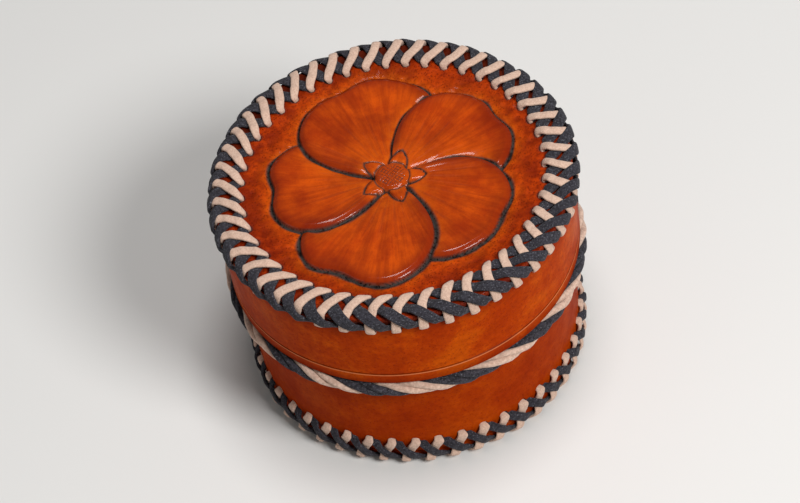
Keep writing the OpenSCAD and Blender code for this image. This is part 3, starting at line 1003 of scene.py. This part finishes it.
# Punched holes: depth, slope of their wall, the leather sunk round them and their dark rim
HOLE_DEPTH, HOLE_SLOPE = 1.5, 0.7
HOLE_SINK, HOLE_SINK_W = 0.2, 1.0
HOLE_DARK, HOLE_DARK_SPAN = 0.8, (HOLE_R - 0.4, HOLE_R + 0.5)
# Masks beyond the face, on the panel's edge and back
BEYOND = {"cut": 0.3, "reach": 1}
# The panel's grid: its columns, and what divides them, the inner and outer radius and the pitch of
# the rings in each zone
COLUMNS = 16 * LID_STITCHES
PANEL_RINGS = (
    (4, 0.5, 9.9, 0.36),
    (2, 10, 19.9, 0.36),
    (1, 20, GROUND_R + 2, 0.32),
    (1, GROUND_R + 2, LID_R - BEVEL - 0.1, 0.45),
)


def petal_angle(i):
    return math.radians(PETAL_TURN + 360 * i / PETALS)


def petal_rim(i, x):
    """Radius of a petal's rim, at a share from -1 to 1 of the way across the petal."""
    full = (1 - np.abs(x) ** 2.5) ** 0.6
    notch = 1 - NOTCH * bell(x - PETAL_NOTCH[i], NOTCH_W)
    wave = 1 + WAVE * np.cos(WAVES * x + WAVE_SHIFT * i)
    return PETAL_REACH[i] * full * notch * wave


def distance_to(line, x, y):
    """Distance of points from a line through the given corners."""
    best = np.full(len(x), np.inf)
    for start, step in zip(line[:-1], np.diff(line, axis=0)):
        u, v = x - start[0], y - start[1]
        share = np.clip((u * step[0] + v * step[1]) / (step @ step), 0, 1)
        best = np.minimum(best, np.hypot(u - share * step[0], v - share * step[1]))
    return best


def petal_inside(i, angle, r):
    """Distance inside a petal's outline, negative outside it."""
    half = PETAL_HALF[i]
    across = np.sin(math.pi / 2 * np.linspace(-1, 1, OUTLINE_STEPS))
    rim = petal_rim(i, across)
    outline = np.stack([rim * np.cos(across * half), rim * np.sin(across * half)], 1)
    away = distance_to(outline, r * np.cos(angle), r * np.sin(angle))
    within = r < petal_rim(i, np.clip(angle / half, -1, 1))
    return np.where(within, away, -away)


def raise_form(inner, top, rim, height, petal, cut, halo):
    """Lays a small raised form over the rest and cuts round it."""
    over = inner > 0
    outer = np.minimum(inner, 0)
    raised = top - rim * (1 - smooth_step(inner, 0, FORM_RIM_W))
    height = np.where(over, raised, height - FORM_CUT * np.exp(outer / FORM_CUT_W))
    cut = np.where(over, 0, np.maximum(cut, np.exp(-((outer / FORM_LINE_W) ** 4))))
    glow = FORM_HALO_ROUND * np.exp(outer / FORM_HALO_W)
    halo = np.where(over, FORM_HALO, np.maximum(halo, glow))
    return height, np.where(over, 1.0, petal), cut, halo


def tooling(x, y):
    """Height over the plain face, and the masks of the carved design, at points of the panel."""
    r, theta = np.hypot(x, y), np.arctan2(y, x)
    mat = sum(depth * soft_noise(x, y, size, seed) for depth, size, seed in MATTING)
    height = -GROUND_DEPTH * (1 - smooth_step(r, GROUND_R - 1, LID_HOLE_R))
    mat_limits = (LID_HOLE_R - MATTING_END, LID_HOLE_R + MATTING_END)
    height = height + mat * (1 - smooth_step(r, *mat_limits))
    petal, cut, halo, spread, rim = np.zeros((5, len(x)))
    line_w = LINE_W - LINE_W_ROUND * np.sin(theta) + LINE_W_CHANGE * soft_noise(x, y, 5, 3)
    uneven = soft_noise(30 * np.cos(theta), 30 * np.sin(theta), 1.5, 6)
    vein_end = VEIN_END + VEIN_END_CHANGE * uneven
    swell = SWELL * soft_noise(x, y, SWELL_SIZE, SWELL_SEED)

    # Each petal lies over its neighbour on one side and under the other, all the way round
    angles = np.stack([wrap(theta - petal_angle(i)) for i in range(PETALS)])
    inside = np.stack([petal_inside(i, angles[i], r) for i in range(PETALS)])
    pick = np.arange(len(x))
    for i in angles.argsort(0):
        angle, depth = angles[i, pick], inside[i, pick]
        gap = np.maximum(-depth, 0)
        folds = sum(np.sin(count * angle + phase + 2 * i) for count, phase in FOLDS)
        folds = folds * smooth_step(r, *FOLD_OUT) * smooth_step(depth, *FOLD_IN)
        vein = np.maximum(np.cos(VEINS * angle + 2 * np.sin(5 * angle + i)), 0) ** 3
        vein = vein * smooth_step(r, *VEIN_OUT) * smooth_step(depth, *VEIN_IN)
        vein = vein * (1 - smooth_step(r, vein_end, vein_end + VEIN_FADE))
        face = PETAL_LIFT + PETAL_TILT * np.clip(angle / PETAL_HALF[i], -1, 1)
        face += ROLL * bell(depth, ROLL_W) + FOLD * folds + swell - CUP * bell(r, CUP_R)
        face -= FALL * (1 - smooth_step(depth, *FALL_SPAN)) + VEIN * vein
        height = height - CUT_DEEP * np.exp(-gap / CUT_DEEP_W)
        height = height - CUT_WIDE * np.exp(-gap / CUT_WIDE_W)
        cut = np.maximum(cut, np.exp(-((gap / line_w) ** 6)))
        halo = np.maximum(halo, np.exp(-gap / HALO_W))
        over = smooth_step(depth, -0.3, 0.3)
        height = height + over * (face - height)
        petal = petal + over * (1 - petal)
        cut = cut * (1 - smooth_step(depth, 0, 0.4)) + VEIN_INK * over * vein
        rim = rim + over * (bell(depth, RIM_W) - rim)
        halo = halo + over * (ROOT_HALO * bell(r, ROOT_HALO_R) - halo)
        spread = np.where(over > 0.5, angle + 3.0 * i, spread)

    for i in range(PETALS):
        a = theta - petal_angle(i + 0.5)
        u, v = r * np.cos(a) - BUTTON_R, np.abs(r * np.sin(a))
        sepal = 1.25 * BUTTON_R - np.hypot(u, v + 0.75 * BUTTON_R)
        height, petal, cut, halo = raise_form(
            sepal, SEPAL_TOP + SEPAL_RISE * v, SEPAL_RIM, height, petal, cut, halo
        )
    lines = (np.abs(np.sin(HATCH * x + HATCH * y)), np.abs(np.sin(HATCH * x - HATCH * y)))
    hatch = smooth_step(np.maximum(*lines), *HATCH_SPAN) * smooth_step(BUTTON_R - r, *HATCH_IN)
    dome = BUTTON_DOME * np.sqrt(np.clip(1 - (r / BUTTON_R) ** 2, 0, 1))
    height, petal, cut, halo = raise_form(
        BUTTON_R - r, BUTTON_TOP + dome - HATCH_DEPTH * hatch, BUTTON_RIM, height, petal, cut, halo
    )
    cut = np.maximum(cut, HATCH_INK * hatch)
    rim = np.where(r > BUTTON_R, rim * smooth_step(r, *RIM_OUT), BUTTON_DYE)
    halo, dent = np.clip(halo, 0, 1), np.clip(-mat, 0, 1)
    return height, dict(zip(MASKS, (petal, cut, halo, spread, r / PETAL_R, rim, dent)))


def circle_points(radius, columns):
    a = FULL_TURN * np.arange(columns) / columns
    return np.stack([radius * np.cos(a), radius * np.sin(a)], 1)


def polar_sheet(rings):
    """Points and faces of a round sheet from rings of (columns, radius), each as dense or twice
    as dense as the last, and the first point and the columns of the last ring."""
    points, faces, start, last = [np.zeros((1, 2))], [], 0, 0
    for columns, radius in rings:
        points.append(circle_points(radius, columns))
        new = start + max(last, 1)
        if last == 0:
            faces += [(0, new + j, new + (j + 1) % columns) for j in range(columns)]
        elif columns == last:
            faces += band(start, new, columns)
        else:
            for j in range(last):
                here, there = start + j, start + (j + 1) % last
                mid, end = new + 2 * j + 1, new + (2 * j + 2) % columns
                faces += [(here, new + 2 * j, mid), (here, mid, there), (there, mid, end)]
        start, last = new, columns
    return np.concatenate(points), faces, start, last


def tooled_panel():
    """The lid panel with its carving, punched holes, bevelled edge and plain back."""
    rings = [
        (COLUMNS // share, r)
        for share, inner, outer, pitch in PANEL_RINGS
        for r in np.arange(inner, outer, pitch)
    ]
    face, faces, start, last = polar_sheet(rings + [(COLUMNS, LID_R - BEVEL)])
    x, y = face.T
    height, masks = tooling(x, y)

    r, theta = np.hypot(x, y), np.arctan2(y, x)
    near = wrap(theta - math.radians(LID_TURN), FULL_TURN / LID_STITCHES)
    from_hole = np.hypot(r * np.cos(near) - LID_HOLE_R, r * np.sin(near))
    height = height - HOLE_DEPTH * (1 - smooth_step(from_hole, HOLE_R - HOLE_SLOPE, HOLE_R))
    height = height - HOLE_SINK * bell(from_hole - HOLE_R, HOLE_SINK_W) * (from_hole > HOLE_R)
    dark = HOLE_DARK * (1 - smooth_step(from_hole, *HOLE_DARK_SPAN))
    masks["cut"] = np.maximum(masks["cut"], dark)

    points = [np.column_stack([face, TOP_Z + height])]
    count, back_z = len(face), TOP_Z - LEATHER
    for radius, z in ((LID_R, TOP_Z - BEVEL), (LID_R, back_z + BEVEL), (LID_R - BEVEL, back_z)):
        points.append(np.column_stack([circle_points(radius, last), np.full(last, z)]))
        faces += band(start, count, last)
        start, count = count, count + last
    points.append(np.array([[0, 0, back_z]]))
    faces += [(start + j, count, start + (j + 1) % last) for j in range(last)]

    piece = make_piece("tooled_lid_panel", np.concatenate(points), faces, panel_leather)
    spare = count + 1 - len(face)
    for name, values in masks.items():
        store(piece, name, np.concatenate([values, np.full(spare, BEYOND.get(name, 0))]))
    return piece


stand_for(tooled_panel(), "lid", "leather", "lid_panel")

dress("lid_wall", lid_wall_leather)
dress("base_wall", base_wall_leather)
dress("base_panel", base_wall_leather)
for node in ("lid_panel_lining", "lid_wall_lining", "base_floor_lining", "base_wall_lining"):
    dress(node, lining_suede)


# Floor, light and camera

FLOOR_GREY = (0.74, 0.73, 0.71, 1)
FLOOR_HALF = 3000
LIGHT_AIM = Vector((0, 0, 0.05))
WORLD_WHITE = (1, 1, 1, 1)
WORLD_STRENGTH = 0.16

CAMERA_DISTANCE = 932.95
CAMERA_HEIGHT = math.radians(48.809674)
CAMERA_PITCH = math.radians(1.4227381)
CAMERA_YAW = math.radians(0.11602146)
CAMERA_ROLL = math.radians(-10.73178697)
FRAME_W = 800
FOCAL_PIXELS = 3000
SENSOR_W = 36


def plain_floor():
    material, *_ = new_material(
        "pale floor", Base_Color=FLOOR_GREY, Roughness=0.85, Specular_IOR_Level=0.2
    )
    corners = [(FLOOR_HALF * x, FLOOR_HALF * y, 0) for x, y in ((-1, -1), (1, -1), (1, 1), (-1, 1))]
    floor = make_piece("floor", corners, [(0, 1, 2, 3)], material, smooth=False)


def soft_light(name, place, size, watts):
    data = bpy.data.lights.new(name, "AREA")
    data.shape = "DISK"
    data.size = size
    data.energy = watts
    lamp = bpy.data.objects.new(name, data)
    bpy.context.scene.collection.objects.link(lamp)
    lamp.location = place
    lamp.rotation_mode = "QUATERNION"
    lamp.rotation_quaternion = (LIGHT_AIM - Vector(place)).to_track_quat("-Z", "Y")


def studio_world():
    world = bpy.data.worlds.new("studio")
    world.use_nodes = True
    background = world.node_tree.nodes["Background"].inputs
    background["Color"].default_value = WORLD_WHITE
    background["Strength"].default_value = WORLD_STRENGTH
    bpy.context.scene.world = world


def studio_camera():
    """The camera, aimed at the middle of the lid's face and then tipped."""
    ahead = Vector((0, math.cos(CAMERA_HEIGHT), -math.sin(CAMERA_HEIGHT)))
    upward = Vector((0, math.sin(CAMERA_HEIGHT), math.cos(CAMERA_HEIGHT)))
    level = Matrix((Vector((1, 0, 0)), -upward, ahead))
    roll, yaw, pitch = (
        Matrix.Rotation(angle, 3, axis)
        for angle, axis in ((CAMERA_ROLL, "Z"), (CAMERA_YAW, "Y"), (CAMERA_PITCH, "X"))
    )
    rows = roll @ yaw @ pitch @ level
    pose = Matrix((rows[0], -rows[1], -rows[2])).transposed().to_4x4()
    pose.translation = (Vector((0, 0, TOP_Z)) - ahead * CAMERA_DISTANCE) * MM
    data = bpy.data.cameras.new("camera")
    data.sensor_width = SENSOR_W
    data.lens = FOCAL_PIXELS / FRAME_W * SENSOR_W
    data.clip_start = 0.01
    camera = bpy.data.objects.new("camera", data)
    bpy.context.scene.collection.objects.link(camera)
    camera.matrix_world = pose
    bpy.context.scene.camera = camera


plain_floor()
soft_light("front light", place=(0.6, -0.66, 0.95), size=0.45, watts=13)
soft_light("side light", place=(-0.9, -0.3, 0.5), size=0.5, watts=0.4)
soft_light("top light", place=(0.1, 0.05, 1.25), size=0.4, watts=6)
studio_world()
studio_camera()
bpy.context.scene.view_settings.view_transform = "Standard"
